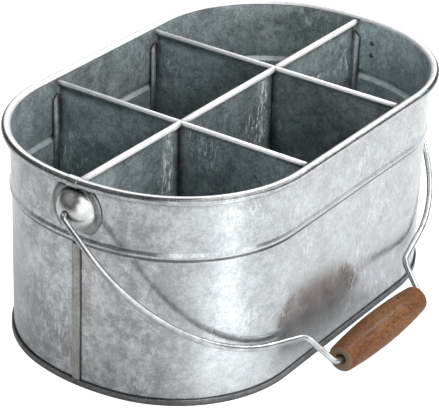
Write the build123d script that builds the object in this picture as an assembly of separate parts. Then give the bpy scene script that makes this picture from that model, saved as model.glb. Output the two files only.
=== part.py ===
"""Utensil caddy: an oval galvanised sheet tub with six compartments and a swinging wire bail.

Millimetres. X runs along the tub, Y across it and Z up from the surface that it stands on.
The origin is the centre of the flat bottom. The bail hangs over the -Y side with its grip on that surface.
"""
from build123d import *
import os
from math import acos, asin, atan2, cos, degrees, radians, sin, sqrt, tan

# Oval outline of the wall's outer face below the bead: straight sides, corner arcs, flatter end arcs.
# The centres of the corner arcs lie CORNER_INSET from the long axis.
TUB_LENGTH = 348.0
TUB_WIDTH = 216.0
CORNER_INSET = 13.0
END_RADIUS = 150.0

# Galvanised sheet, the height of the tub and its rolled rim.
SHEET = 0.5
TUB_HEIGHT = 162.0
RIM_RADIUS = 3.3

# Swaged bead: the band above it stands proud of the wall below it.
BEAD_HEIGHT = 7.5
BEAD_PEAK_DROP = 3.4
BEAD_PROUD = 2.2
BAND_PROUD = 0.8
BEAD_ROUND = 2.0

# Folded seam that joins the bottom to the wall, and the lock seam that closes the wall at the near end.
SEAM_HEIGHT = 4.6
SEAM_GAP = 0.05
LOCK_SEAM_WIDTH = 7.0
LOCK_SEAM_PROUD = 1.2

# Dividers: one along the tub, two across it, slotted into each other at half height.
DIVIDER_DROP = 2.4
CROSS_DIVIDER_X = 59.3
SLOT_CLEARANCE = 0.15
LONG_HEM_RADIUS = 1.9
LONG_HEM_LEG = 1.6
CROSS_HEM_RADIUS = 1.2
CROSS_HEM_LEG = 2.6
FLANGE_WIDTH = 6.0
FLANGE_DROP = 7.0
FLANGE_BEND = 1.0
WALL_CLEARANCE = 0.1

# Pressed ears that carry the bail. They sit on the band, between the rim and the bead.
EAR_SHEET = 0.8
EAR_DOME_RADIUS = 15.75
EAR_DOME_HEIGHT = 12.0
EAR_FOOT_ROUND = 1.2
EAR_FLANGE_WIDTH = 4.75
EAR_FLAT_MARGIN = 0.45
EAR_RIM_GAP = 1.45
EAR_BEAD_GAP = 3.15
EAR_SEAT_GAP = 0.05

# Rivets: four in each ear, on the middle of its flange.
RIVET_SPACING = 10.0
RIVET_RADIUS = 1.25
RIVET_HEAD_LIP = 0.85
RIVET_HEAD_HEIGHT = 0.9
RIVET_CLEARANCE = 0.05

# Bail: round wire with headed ends inside the ears, arms, shoulders and a straight run in the grip.
# Its reach is the distance from the pivot to the grip's axis. Bend radii are those of the wire's inside.
WIRE_DIAMETER = 3.8
PIVOT_CLEARANCE = 0.08
WIRE_HEAD_LIP = 1.2
WIRE_HEAD_LENGTH = 1.6
WIRE_INNER_LENGTH = 3.0
EAR_BEND_RADIUS = 1.1
BAIL_EAR_GAP = 0.3
BAIL_REACH = 186.0
ARM_STRAIGHT = 30.0
SLOPE_STRAIGHT = 30.0
ARM_SLOPE = 15.5
SHOULDER_DROP = 27.5
SHOULDER_SPREAD = 9.0
SHOULDER_BEND_RADIUS = 8.0
GRIP_BEND_RADIUS = 5.0

# Turned wooden grip, loose on the bail's straight run.
GRIP_LENGTH = 106.0
GRIP_DIAMETER = 25.6
GRIP_END_DIAMETER = 20.0
GRIP_END_ROUND = 2.4
GRIP_BORE_CLEARANCE = 0.4
GRIP_MOUTH_FLARE = 1.5
GRIP_MOUTH_DEPTH = 2.5
GRIP_END_GAP = 0.5

# Least gaps of the hanging bail to the table and to the wall.
TABLE_GAP = 0.1
HANG_WALL_GAP = 0.5

HALF_LENGTH = TUB_LENGTH / 2
HALF_WIDTH = TUB_WIDTH / 2

# Centres of the outline's arcs: corner arcs meet the sides and the end arcs without a kink.
CORNER_RADIUS = HALF_WIDTH - CORNER_INSET
END_CENTRE_X = HALF_LENGTH - END_RADIUS
CORNER_CENTRE_X = END_CENTRE_X + sqrt((END_RADIUS - CORNER_RADIUS) ** 2 - CORNER_INSET**2)
JOIN_ANGLE = degrees(atan2(CORNER_INSET, CORNER_CENTRE_X - END_CENTRE_X))
CORNER_SWEEP = 90.0 - JOIN_ANGLE

# Arcs of the outline, anticlockwise: centre, radius, first angle, swept angle.
OUTLINE_ARCS = [
    ((CORNER_CENTRE_X, -CORNER_INSET), CORNER_RADIUS, -90.0, CORNER_SWEEP),
    ((END_CENTRE_X, 0.0), END_RADIUS, -JOIN_ANGLE, 2 * JOIN_ANGLE),
    ((CORNER_CENTRE_X, CORNER_INSET), CORNER_RADIUS, JOIN_ANGLE, CORNER_SWEEP),
    ((-CORNER_CENTRE_X, CORNER_INSET), CORNER_RADIUS, 90.0, CORNER_SWEEP),
    ((-END_CENTRE_X, 0.0), END_RADIUS, 180.0 - JOIN_ANGLE, 2 * JOIN_ANGLE),
    ((-CORNER_CENTRE_X, -CORNER_INSET), CORNER_RADIUS, 180.0 + JOIN_ANGLE, CORNER_SWEEP),
]


def oval_face(offset_out):
    """The tub's outline, moved outwards by offset_out, as a flat face at Z = 0."""
    side = Line((0, -HALF_WIDTH - offset_out), (CORNER_CENTRE_X, -HALF_WIDTH - offset_out))
    corner = JernArc(side @ 1, side % 1, CORNER_RADIUS + offset_out, CORNER_SWEEP)
    end = JernArc(corner @ 1, corner % 1, END_RADIUS + offset_out, JOIN_ANGLE)
    quarter = Curve() + [side, corner, end]
    half = quarter + mirror(quarter, about=Plane.XZ)
    return make_face(half + mirror(half, about=Plane.YZ))


def wall_inside_y(x):
    """Distance from the long axis to the wall's inside below the bead, at x along the tub."""
    past_side = max(abs(x) - CORNER_CENTRE_X, 0)
    return CORNER_INSET + sqrt((CORNER_RADIUS - SHEET) ** 2 - past_side**2)


def section_plane(start, outward):
    """Plane of a wall section: its first axis points out of the tub and its second points up."""
    x, y = outward
    return Plane(origin=(*start, 0), x_dir=(x, y, 0), z_dir=(y, -x, 0))


def around(section):
    """Carries a wall section once round the outline. Section X is measured from the wall's outer face."""
    runs = []
    for side in (-1, 1):
        plane = section_plane((-side * CORNER_CENTRE_X, side * HALF_WIDTH), (0, side))
        runs.append(extrude(plane * section, amount=2 * CORNER_CENTRE_X))
    for centre, radius, first, turn in OUTLINE_ARCS:
        outward = (cos(radians(first)), sin(radians(first)))
        start = (centre[0] + radius * outward[0], centre[1] + radius * outward[1])
        placed = section_plane(start, outward) * section
        runs.append(revolve(placed, axis=Axis((*centre, 0), (0, 0, 1)), revolution_arc=turn))
    return runs[0].fuse(*runs[1:])


# Layers of the bottom seam, outwards from the wall: bottom's hook, wall's hook, bottom's outer skirt.
BASE_HOOK_IN = SEAM_GAP
BASE_HOOK_OUT = BASE_HOOK_IN + SHEET
WALL_HOOK_IN = BASE_HOOK_OUT + SEAM_GAP
SKIRT_IN = WALL_HOOK_IN + SHEET + SEAM_GAP
SKIRT_OUT = SKIRT_IN + SHEET
FLOOR_TOP = SHEET + SEAM_GAP
WALL_HOOK_TOP = SEAM_HEIGHT - SHEET - SEAM_GAP
BASE_HOOK_FOOT = FLOOR_TOP + SHEET + SEAM_GAP

# Heights on the wall, from the rim down: the ear fills the band between the rim and the bead.
RIM_CENTRE = (BAND_PROUD - SHEET + RIM_RADIUS, TUB_HEIGHT - RIM_RADIUS)
EAR_HALF_HEIGHT = EAR_DOME_RADIUS + EAR_FLAT_MARGIN
PIVOT_HEIGHT = TUB_HEIGHT - 2 * RIM_RADIUS - EAR_RIM_GAP - EAR_HALF_HEIGHT
BEAD_TOP = PIVOT_HEIGHT - EAR_HALF_HEIGHT - EAR_BEAD_GAP
BEAD_FOOT = BEAD_TOP - BEAD_HEIGHT


def wall_section():
    """Section of the wall: folded foot, straight wall, bead, band and a closed rim rolled outwards."""
    bead_foot = (0, BEAD_FOOT)
    bead_peak = (BEAD_PROUD, BEAD_TOP - BEAD_PEAK_DROP)
    outer_face = Polyline(
        (WALL_HOOK_IN, WALL_HOOK_TOP),
        (WALL_HOOK_IN, FLOOR_TOP + SHEET),
        (0, FLOOR_TOP + SHEET),
        bead_foot,
        bead_peak,
        (BAND_PROUD, BEAD_TOP),
        (BAND_PROUD, RIM_CENTRE[1]),
    )
    sheet = offset(outer_face, amount=SHEET, side=Side.LEFT, closed=True, kind=Kind.INTERSECTION)
    section = make_face(sheet.edges())
    for corner, inner_round in ((bead_foot, BEAD_ROUND + SHEET), (bead_peak, BEAD_ROUND - SHEET)):
        for place, radius in ((1, inner_round), (0, BEAD_ROUND)):
            nearest = section.vertices().sort_by_distance((*corner, 0))
            section = fillet(nearest[place], radius)
    return section + Pos(*RIM_CENTRE) * Circle(RIM_RADIUS)


def end_band(inner_radius, outer_radius, low, high):
    """Upright ring about the far end arc's centre, between two heights."""
    ring = Cylinder(outer_radius, high - low) - Cylinder(inner_radius, high - low)
    return Pos(END_CENTRE_X, 0, (low + high) / 2) * ring


def lock_seam():
    """Flat folded strip up the near end's outside, from the bottom seam to the bead."""
    low = SEAM_HEIGHT + SEAM_GAP
    ring = end_band(END_RADIUS - SHEET / 2, END_RADIUS + LOCK_SEAM_PROUD, low, BEAD_FOOT)
    strip = Pos(HALF_LENGTH, 0, BEAD_FOOT / 2) * Box(END_RADIUS, LOCK_SEAM_WIDTH, BEAD_FOOT)
    return mirror(ring & strip, about=Plane.YZ)


def rivet_places(side):
    """Places of one ear's rivets on the band, each with its Z axis along the wall's outward normal.

    side is -1 at the near end and 1 at the far end.
    """
    ring_radius = EAR_DOME_RADIUS + EAR_FLANGE_WIDTH / 2
    across = sqrt(ring_radius**2 - (RIVET_SPACING / 2) ** 2)
    turn = degrees(asin(across / (END_RADIUS + BAND_PROUD)))
    places = []
    for heading in (-turn, turn):
        for up in (-RIVET_SPACING / 2, RIVET_SPACING / 2):
            centre = Pos(side * END_CENTRE_X, 0, PIVOT_HEIGHT + up)
            outward = Rot(0, 0, heading if side > 0 else 180.0 - heading)
            places.append(centre * outward * Pos(END_RADIUS + BAND_PROUD, 0, 0) * Rot(0, 90, 0))
    return places


def rivet_holes(side):
    """Bars that pierce the flange and the wall for one ear's rivets."""
    bar = Cylinder(RIVET_RADIUS + RIVET_CLEARANCE, 4 * (EAR_SHEET + SHEET))
    return [place * bar for place in rivet_places(side)]


def wall_shell():
    """Wall, rim and lock seam in one piece of sheet, pierced for the ears' rivets."""
    wall = around(wall_section()) + lock_seam()
    for side in (-1, 1):
        for hole in rivet_holes(side):
            wall -= hole
    return wall


def base_pan():
    """Flat bottom whose edge is folded up round the wall's foot and down again behind its hook."""
    fold = Polyline(
        (SKIRT_OUT, 0),
        (SKIRT_OUT, SEAM_HEIGHT),
        (BASE_HOOK_IN, SEAM_HEIGHT),
        (BASE_HOOK_IN, BASE_HOOK_FOOT),
        (BASE_HOOK_OUT, BASE_HOOK_FOOT),
        (BASE_HOOK_OUT, SEAM_HEIGHT - SHEET),
        (SKIRT_IN, SEAM_HEIGHT - SHEET),
        (SKIRT_IN, 0),
        close=True,
    )
    return extrude(oval_face(SKIRT_OUT), amount=SHEET) + around(make_face(fold))


# Dividers stand on the bottom, and slot into each other at half height.
DIVIDER_TOP = TUB_HEIGHT - DIVIDER_DROP
SLOT_HEIGHT = (FLOOR_TOP + DIVIDER_TOP) / 2
SLOT_WIDTH = SHEET + 2 * SLOT_CLEARANCE


def divider(half_span, hem_radius, hem_leg):
    """Sheet divider along X: a plain web, a top edge rolled over towards -Y and a flange at each end.

    half_span is the distance from the middle to the outer face of each flange.
    """
    hem_centre = (SHEET / 2 - hem_radius, DIVIDER_TOP - hem_radius)
    hem_tip = hem_centre[1] - hem_leg
    web_height = hem_centre[1] - FLOOR_TOP
    upper_half = Pos(0, hem_radius) * Rectangle(2 * hem_radius, 2 * hem_radius)
    section = Pos(0, FLOOR_TOP + web_height / 2) * Rectangle(SHEET, web_height)
    section += Pos(SHEET - 2 * hem_radius, hem_tip + hem_leg / 2) * Rectangle(SHEET, hem_leg)
    section += Pos(*hem_centre) * ((Circle(hem_radius) - Circle(hem_radius - SHEET)) & upper_half)
    web_end = half_span - SHEET
    across = Plane(origin=(-web_end, 0, 0), x_dir=(0, 1, 0), z_dir=(1, 0, 0))
    sheet = extrude(across * section, amount=2 * web_end)
    stub = web_end - 2 * FLANGE_BEND
    flange_plan = Polyline(
        (stub, SHEET / 2),
        (half_span, SHEET / 2),
        (half_span, -FLANGE_WIDTH),
        (web_end, -FLANGE_WIDTH),
        (web_end, -SHEET / 2),
        (stub, -SHEET / 2),
        close=True,
    )
    plan = make_face(flange_plan)
    bend = plan.vertices().sort_by_distance((web_end, -SHEET / 2, 0))[0]
    plan = fillet(bend, FLANGE_BEND)
    flange = Pos(0, 0, FLOOR_TOP) * extrude(plan, amount=hem_tip - FLANGE_DROP - FLOOR_TOP)
    return sheet + flange + mirror(flange, about=Plane.YZ)


def long_divider():
    """Divider along the tub, slotted from the top for the cross dividers and their hems."""
    wall_inside_x = END_CENTRE_X + sqrt((END_RADIUS - SHEET) ** 2 - FLANGE_WIDTH**2)
    sheet = divider(wall_inside_x - WALL_CLEARANCE, LONG_HEM_RADIUS, LONG_HEM_LEG)
    reach = 4 * LONG_HEM_RADIUS
    slot_foot = SLOT_HEIGHT - SLOT_CLEARANCE
    notch_foot = DIVIDER_TOP - CROSS_HEM_RADIUS - CROSS_HEM_LEG - SLOT_CLEARANCE
    notch_width = 2 * CROSS_HEM_RADIUS + 2 * SLOT_CLEARANCE
    hem_shift = SHEET / 2 - CROSS_HEM_RADIUS
    for x in (-CROSS_DIVIDER_X, CROSS_DIVIDER_X):
        sheet -= Pos(x, 0, slot_foot + DIVIDER_TOP / 2) * Box(SLOT_WIDTH, reach, DIVIDER_TOP)
        sheet -= Pos(x + hem_shift, 0, notch_foot + DIVIDER_TOP / 2) * Box(notch_width, reach, DIVIDER_TOP)
    return sheet


def cross_divider(x):
    """Divider across the tub at x, slotted from below to drop over the long divider."""
    wall_y = wall_inside_y(CROSS_DIVIDER_X + FLANGE_WIDTH)
    sheet = divider(wall_y - WALL_CLEARANCE, CROSS_HEM_RADIUS, CROSS_HEM_LEG)
    slot_top = SLOT_HEIGHT + SLOT_CLEARANCE
    sheet -= Pos(0, 0, slot_top / 2) * Box(SLOT_WIDTH, 4 * SHEET, slot_top)
    return Pos(x, 0, 0) * Rot(0, 0, -90) * sheet


# The ear seats on the band; its apex sets where the bail's arms run.
WIRE_RADIUS = WIRE_DIAMETER / 2
PIVOT_HOLE_RADIUS = WIRE_RADIUS + PIVOT_CLEARANCE
EAR_SEAT_RADIUS = END_RADIUS + BAND_PROUD + EAR_SEAT_GAP
EAR_BASE_X = END_CENTRE_X + EAR_SEAT_RADIUS
EAR_APEX_X = EAR_BASE_X + EAR_DOME_HEIGHT
EAR_SPHERE_RADIUS = (EAR_DOME_RADIUS**2 + EAR_DOME_HEIGHT**2) / (2 * EAR_DOME_HEIGHT)


def ear(side):
    """Pressed ear: a dome with a hole in its apex and a flange bent to the band, cut flat above and below."""
    along_x = (0, 90, 0)
    centre = (EAR_APEX_X - EAR_SPHERE_RADIUS, 0, PIVOT_HEIGHT)
    shell = Circle(EAR_SPHERE_RADIUS) - Circle(EAR_SPHERE_RADIUS - EAR_SHEET)
    quarter = Pos(EAR_SPHERE_RADIUS / 2, PIVOT_HOLE_RADIUS + EAR_SPHERE_RADIUS / 2)
    section = shell & quarter * Rectangle(EAR_SPHERE_RADIUS, EAR_SPHERE_RADIUS)
    upright = Plane(origin=centre, x_dir=(1, 0, 0), z_dir=(0, -1, 0))
    dome = revolve(upright * section, axis=Axis(centre, (1, 0, 0)))
    dome -= Pos(END_CENTRE_X, 0, PIVOT_HEIGHT) * Cylinder(EAR_SEAT_RADIUS, TUB_HEIGHT)
    outline = Cylinder(EAR_DOME_RADIUS + EAR_FLANGE_WIDTH, END_RADIUS, rotation=along_x)
    outline &= Box(END_RADIUS, END_RADIUS, 2 * EAR_HALF_HEIGHT)
    flange = end_band(EAR_SEAT_RADIUS, EAR_SEAT_RADIUS + EAR_SHEET, 0, TUB_HEIGHT)
    flange &= Pos(EAR_BASE_X, 0, PIVOT_HEIGHT) * outline
    flange -= Pos(*centre) * Sphere(EAR_SPHERE_RADIUS - EAR_SHEET / 2, rotation=along_x)
    shape = dome + flange
    foot = max(shape.edges().filter_by(GeomType.BSPLINE), key=lambda edge: edge.center().X)
    shape = fillet(foot, EAR_FOOT_ROUND)
    if side < 0:
        shape = mirror(shape, about=Plane.YZ)
    for hole in rivet_holes(side):
        shape -= hole
    return shape


def ear_rivets():
    """Rivets of both ears: a head inside the wall and a shank set flush in the flange."""
    flange_face = EAR_SEAT_GAP + EAR_SHEET
    head_seat = -SHEET - RIVET_CLEARANCE
    head_radius = RIVET_RADIUS + RIVET_HEAD_LIP
    profile = Polyline(
        (0, flange_face),
        (RIVET_RADIUS, flange_face),
        (RIVET_RADIUS, head_seat),
        (head_radius, head_seat),
        (head_radius, head_seat - RIVET_HEAD_HEIGHT),
        (0, head_seat - RIVET_HEAD_HEIGHT),
        close=True,
    )
    rivet = revolve(Plane.XZ * make_face(profile), axis=Axis.Z)
    return Compound([place * rivet for side in (-1, 1) for place in rivet_places(side)])


# Half of the bail's corners, as distance from the middle and distance from the pivot axis.
ARM_X = EAR_APEX_X + BAIL_EAR_GAP + EAR_BEND_RADIUS + WIRE_RADIUS
RUN_END_X = GRIP_LENGTH / 2 + GRIP_END_GAP + GRIP_BEND_RADIUS
SHOULDER_X = RUN_END_X + SHOULDER_SPREAD
SHOULDER_REACH = BAIL_REACH - SHOULDER_DROP
ELBOW_REACH = SHOULDER_REACH - (ARM_X - SHOULDER_X) * tan(radians(ARM_SLOPE))
WIRE_TIP_X = EAR_APEX_X - EAR_SHEET - WIRE_INNER_LENGTH

# The arm's arc is as large as the straight stretches on both sides of it leave room for.
SLOPE_LENGTH = (ARM_X - SHOULDER_X) / cos(radians(ARM_SLOPE))
ARM_TANGENT = min(ELBOW_REACH - ARM_STRAIGHT, SLOPE_LENGTH - SLOPE_STRAIGHT)
ARM_BEND_RADIUS = ARM_TANGENT * tan(radians(45.0 + ARM_SLOPE / 2))

# The bail hangs until its grip lies on the table, or until it leans on the wall.
GRIP_RADIUS = GRIP_DIAMETER / 2
ARC_END_REACH = ELBOW_REACH + ARM_TANGENT * sin(radians(ARM_SLOPE))
HANG_ANGLE = min(
    asin(min((PIVOT_HEIGHT - GRIP_RADIUS - TABLE_GAP) / BAIL_REACH, 1)),
    acos(min((HALF_WIDTH + SKIRT_OUT + GRIP_RADIUS + HANG_WALL_GAP) / BAIL_REACH, 1)),
    acos(min((HALF_WIDTH + WIRE_RADIUS + HANG_WALL_GAP) / ARC_END_REACH, 1)),
)
BAIL_PLANE = Plane(origin=(0, 0, PIVOT_HEIGHT), x_dir=(1, 0, 0), z_dir=(0, sin(HANG_ANGLE), -cos(HANG_ANGLE)))


def bail_wire():
    """Wire along straight runs and tangent arcs, with a head on each end inside its ear."""
    half = [
        (WIRE_TIP_X, 0),
        (ARM_X, 0),
        (ARM_X, ELBOW_REACH),
        (SHOULDER_X, SHOULDER_REACH),
        (RUN_END_X, BAIL_REACH),
    ]
    bends = [
        EAR_BEND_RADIUS + WIRE_RADIUS,
        ARM_BEND_RADIUS,
        SHOULDER_BEND_RADIUS + WIRE_RADIUS,
        GRIP_BEND_RADIUS + WIRE_RADIUS,
    ]
    points = half + [(-x, reach) for x, reach in reversed(half)]
    path = BAIL_PLANE * FilletPolyline(*points, radius=bends + bends[::-1])
    start = Plane(origin=path @ 0, z_dir=path % 0)
    wire = sweep(start * Circle(WIRE_RADIUS), path=path)
    head = Cylinder(PIVOT_HOLE_RADIUS + WIRE_HEAD_LIP, WIRE_HEAD_LENGTH, rotation=(0, 90, 0))
    for side in (-1, 1):
        wire += Pos(side * (WIRE_TIP_X + WIRE_HEAD_LENGTH / 2), 0, PIVOT_HEIGHT) * head
    return wire


def grip():
    """Barrel turned on the bail's straight run, with rounded ends and a bore that opens out at each end."""
    bore = WIRE_RADIUS + GRIP_BORE_CLEARANCE
    mouth = bore + GRIP_MOUTH_FLARE
    half = GRIP_LENGTH / 2
    end = GRIP_END_DIAMETER / 2
    throat = half - GRIP_MOUTH_DEPTH
    outline = [
        ThreePointArc((-half, end), (0, GRIP_RADIUS), (half, end)),
        Polyline((half, end), (half, mouth), (throat, bore), (-throat, bore), (-half, mouth), (-half, end)),
    ]
    section = make_face(outline)
    shoulders = section.vertices().group_by(Axis.Y)[-1]
    turned = revolve(fillet(shoulders, GRIP_END_ROUND), axis=Axis.X)
    return BAIL_PLANE.location * Pos(0, BAIL_REACH, 0) * turned


PIECES = {
    "wall_shell": wall_shell(),
    "base_pan": base_pan(),
    "long_divider": long_divider(),
    "cross_divider_near": cross_divider(-CROSS_DIVIDER_X),
    "cross_divider_far": cross_divider(CROSS_DIVIDER_X),
    "ear_near": ear(-1),
    "ear_far": ear(1),
    "ear_rivets": ear_rivets(),
    "bail_wire": bail_wire(),
    "grip": grip(),
}
os.makedirs("parts", exist_ok=True)
for name, shape in PIECES.items():
    export_step(shape, f"parts/{name}.step")
    print(name, "volume", round(shape.volume, 1), "valid", shape.is_valid)
print("hang angle", round(degrees(HANG_ANGLE), 3), "pivot", PIVOT_HEIGHT, "arm bend", round(ARM_BEND_RADIUS, 2))
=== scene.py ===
from math import acos, asin, atan2, cos, pi, radians, sin, sqrt, tan

import bmesh
import bpy
from mathutils import Matrix, Vector


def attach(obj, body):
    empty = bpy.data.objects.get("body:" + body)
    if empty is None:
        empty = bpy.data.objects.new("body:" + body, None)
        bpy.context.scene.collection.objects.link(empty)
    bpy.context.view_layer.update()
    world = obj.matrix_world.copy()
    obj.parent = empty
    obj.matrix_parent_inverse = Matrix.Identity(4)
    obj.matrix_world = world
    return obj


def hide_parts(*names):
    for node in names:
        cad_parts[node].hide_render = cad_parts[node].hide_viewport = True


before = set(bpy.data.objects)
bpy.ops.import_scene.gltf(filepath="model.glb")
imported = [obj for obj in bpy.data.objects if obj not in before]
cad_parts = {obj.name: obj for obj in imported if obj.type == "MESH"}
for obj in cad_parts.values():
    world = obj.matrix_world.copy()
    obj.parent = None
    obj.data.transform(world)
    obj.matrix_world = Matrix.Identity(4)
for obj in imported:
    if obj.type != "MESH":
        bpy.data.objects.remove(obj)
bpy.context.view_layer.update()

# Wall shell: galvanised steel sheet bent into an oval and closed by a lock seam at the near end.
# A bead is swaged in below the band, the top edge is rolled outwards into the rim, and the foot
# is hooked outwards to be folded into the bottom's seam.
MM = 0.001
HALF_LENGTH = 174.0
HALF_WIDTH = 108.0
CORNER_INSET = 13.0
END_RADIUS = 150.0
CORNER_RADIUS = HALF_WIDTH - CORNER_INSET
END_CENTRE_X = HALF_LENGTH - END_RADIUS
CORNER_CENTRE_X = END_CENTRE_X + sqrt((END_RADIUS - CORNER_RADIUS) ** 2 - CORNER_INSET**2)
JOIN_ANGLE = atan2(CORNER_INSET, CORNER_CENTRE_X - END_CENTRE_X)
CORNER_STEPS = 44
END_STEPS = 20
LONG_EDGE = 20.0
SHEET = 0.5
WALL_FOOT = 1.05
HOOK_OUT = 0.6
HOOK_TOP = 4.05
BEAD_FOOT = 110.9
BEAD_PEAK = 115.0
BEAD_TOP = 118.4
BEAD_PROUD = 2.2
BAND_PROUD = 0.8
RIM_RADIUS = 3.3
RIM_HEIGHT = 158.7
RIM_OUT = BAND_PROUD + RIM_RADIUS - SHEET
RIM_CURL = radians(322)
# Corners of the wall's section: how far out of the wall's line, how high, and how rounded.
WALL_CORNERS = [
    (HOOK_OUT, HOOK_TOP, 0.0),
    (HOOK_OUT, WALL_FOOT, 0.3),
    (0.0, WALL_FOOT, 0.3),
    (0.0, BEAD_FOOT - 2.0, 0.0),
    (0.0, BEAD_FOOT, 0.55),
    (BEAD_PROUD, BEAD_PEAK, 1.3),
    (BAND_PROUD, BEAD_TOP, 0.5),
    (BAND_PROUD, BEAD_TOP + 2.0, 0.0),
    (BAND_PROUD, RIM_HEIGHT, 0.0),
]
# Dirt, wear and painted shade: the stains, streaks and the shade painted into creases are in metres, as
# the materials read them.
CREASE_SHADE = (0.06, 0.06, 0.062, 1.0)
CREASE_REACH = 0.008
# Blotch colour: for stains, and for painted shade at the near end and in the seam's creases.
BLOTCH_AND_SHADE = (0.16, 0.16, 0.164, 1.0)
NEAR_END_STAINS_AND_SHADE = (-0.168, -0.138)
FOOT_DARKENING = (0.0, 0.09)
SCRATCH_WHITE = (0.92, 0.95, 0.95, 1.0)
STREAK_RISE = 0.012
STREAK_FALL = 0.009
# Heights of the band on the bead's lower slope that takes painted shade outside and a painted highlight
# inside.
BEAD_SHADE_FOOT = BEAD_FOOT + 0.4
BEAD_SHADE_TOP = BEAD_PEAK - 0.8
# How far up the rim looks, from 0 to 1, where its crest with the painted highlight and its outer flank
# with the painted shade begin.
CREST_FROM_OUTSIDE = 0.9
CREST_FROM_INSIDE = 0.3
FLANK_FROM_OUTSIDE = 0.35


class Value:
    """A node's output in Python arithmetic: each operator adds one Math node."""

    def __init__(self, finish, socket):
        self.finish = finish
        self.socket = socket

    def maths(self, operation, *terms):
        return self.finish.node("ShaderNodeMath", {"operation": operation}, dict(enumerate(terms)))

    def at_most(self, limit):
        return self.maths("MINIMUM", self, limit)

    def __abs__(self):
        return self.maths("ABSOLUTE", self)

    def __add__(self, other):
        return self.maths("ADD", self, other)

    def __sub__(self, other):
        return self.maths("SUBTRACT", self, other)

    def __rsub__(self, other):
        return self.maths("SUBTRACT", other, self)

    def __mul__(self, other):
        return self.maths("MULTIPLY", self, other)

    __radd__ = __add__
    __rmul__ = __mul__


class Finish:
    """A surface finish: one material, whose constants are set on its shader's own sockets."""

    def __init__(self, name, **constants):
        self.material = bpy.data.materials.new(name)
        self.material.use_nodes = True
        self.tree = self.material.node_tree
        self.shader = self.tree.nodes["Principled BSDF"]
        for socket, value in constants.items():
            self.shader.inputs[socket.replace("_", " ")].default_value = value
        self.place = self.node("ShaderNodeTexCoord", output="Object")

    def node(self, kind, settings=None, inputs=None, output=0):
        """Adds a node, makes its settings and then fills its sockets with numbers, colours or links."""
        made = self.tree.nodes.new(kind)
        for setting, value in (settings or {}).items():
            setattr(made, setting, value)
        for socket, value in (inputs or {}).items():
            if isinstance(value, Value):
                self.tree.links.new(value.socket, made.inputs[socket])
            else:
                made.inputs[socket].default_value = value
        return Value(self, made.outputs[output])

    def coordinate(self, axis):
        """How far along an axis each point of the surface lies."""
        return self.node("ShaderNodeSeparateXYZ", None, {"Vector": self.place}, axis)

    def stretched(self, scale):
        """Object coordinates stretched by a factor along each axis."""
        return self.node("ShaderNodeMapping", None, {"Vector": self.place, "Scale": scale})

    def noise(self, scale, detail, roughness, place=None, distortion=0.0):
        inputs = {"Vector": place or self.place, "Scale": scale, "Detail": detail}
        inputs.update({"Roughness": roughness, "Distortion": distortion})
        return self.node("ShaderNodeTexNoise", None, inputs)

    def step(self, value, low, high):
        """0 below low and 1 above high, with a smooth change between them."""
        settings = {"interpolation_type": "SMOOTHSTEP"}
        inputs = {"Value": value, "From Min": low, "From Max": high}
        return self.node("ShaderNodeMapRange", settings, inputs)

    def mix(self, factor, first, second):
        return self.node("ShaderNodeMix", {"data_type": "RGBA"}, {0: factor, 6: first, 7: second}, 2)

    def bump(self, height, strength, distance):
        inputs = {"Strength": strength, "Distance": distance, "Height": height}
        return self.node("ShaderNodeBump", None, inputs)

    def feed(self, **sockets):
        for socket, value in sockets.items():
            self.tree.links.new(value.socket, self.shader.inputs[socket.replace("_", " ")])
        return self.material


def galvanised(name, dark, light, least_rough, metal, scratched=0.0, weathered_and_shaded=0.0, rubbed_at=()):
    """Dull zinc coat on steel: clouded grey with a fine grain and patches of pale scratches.

    The weathered-and-shaded amount is how far blotches darken the near end, partly as stains and partly
    as painted shade there, and how far the colour darkens towards the foot; rubbed_at gives the places
    along X of pale upright streaks.
    """
    finish = Finish(name)
    clouds = finish.noise(60.0, 6.0, 0.62, distortion=0.5)
    mottle = finish.noise(170.0, 5.0, 0.7, distortion=0.8)
    grain = finish.noise(640.0, 4.0, 0.7)
    shade = clouds * 0.26 + mottle * 0.38 + grain * 0.36
    colour = finish.mix(finish.step(shade, 0.36, 0.64), dark, light)
    along = finish.coordinate("X")
    # Blotches darken the near end, partly stains and partly painted shade there, and the colour darkens
    # towards the foot.
    near_end = 1 - finish.step(along, *NEAR_END_STAINS_AND_SHADE)
    foot = 1 - finish.step(finish.coordinate("Z"), *FOOT_DARKENING)
    stains = finish.noise(130.0, 12.0, 0.78, distortion=0.2) * 0.7 + finish.noise(36.0, 3.0, 0.5) * 0.3
    blotches = 1 - finish.step(stains, 0.42, 0.575)
    colour = finish.mix((near_end * blotches + 0.3 * foot) * weathered_and_shaded, colour, BLOTCH_AND_SHADE)
    scratch_way = finish.stretched((1.0, 1.0, 0.25))
    scratches = finish.step(finish.noise(420.0, 3.0, 0.55, scratch_way, 1.5), 0.55, 0.63)
    scratched_patches = finish.step(finish.noise(22.0, 3.0, 0.5), 0.53, 0.62)
    marked = scratches * scratched_patches
    for streak_x in rubbed_at:
        smear_way = finish.stretched((1.0, 1.0, 0.5))
        smears = finish.step(finish.noise(230.0, 4.0, 0.6, smear_way, 1.0), 0.5, 0.6)
        rise = finish.step(along, streak_x - STREAK_RISE, streak_x)
        fall = finish.step(along, streak_x, streak_x + STREAK_FALL)
        marked = marked + (rise - fall) * (0.15 + smears * 0.8 + scratches)
    bloom = (marked * scratched).at_most(1.0)
    colour = finish.mix(bloom, colour, SCRATCH_WHITE)
    # Painted shade: where ambient occlusion finds the surface hemmed in, in creases, corners and by the
    # floor, the colour is darkened.
    openness = finish.node("ShaderNodeAmbientOcclusion", {"samples": 8}, {"Distance": CREASE_REACH}, "AO")
    colour = finish.mix(0.85 - 0.85 * finish.step(openness, 0.3, 0.92), colour, CREASE_SHADE)
    roughness = least_rough + 0.1 * finish.step(clouds, 0.35, 0.7) + 0.06 * grain
    waves = finish.noise(14.0, 2.0, 0.5)
    normal = finish.bump(grain * 0.01 + waves, 0.3, 0.001)
    bare_metal = metal - metal * bloom
    return finish.feed(Base_Color=colour, Roughness=roughness, Metallic=bare_metal, Normal=normal)


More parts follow.
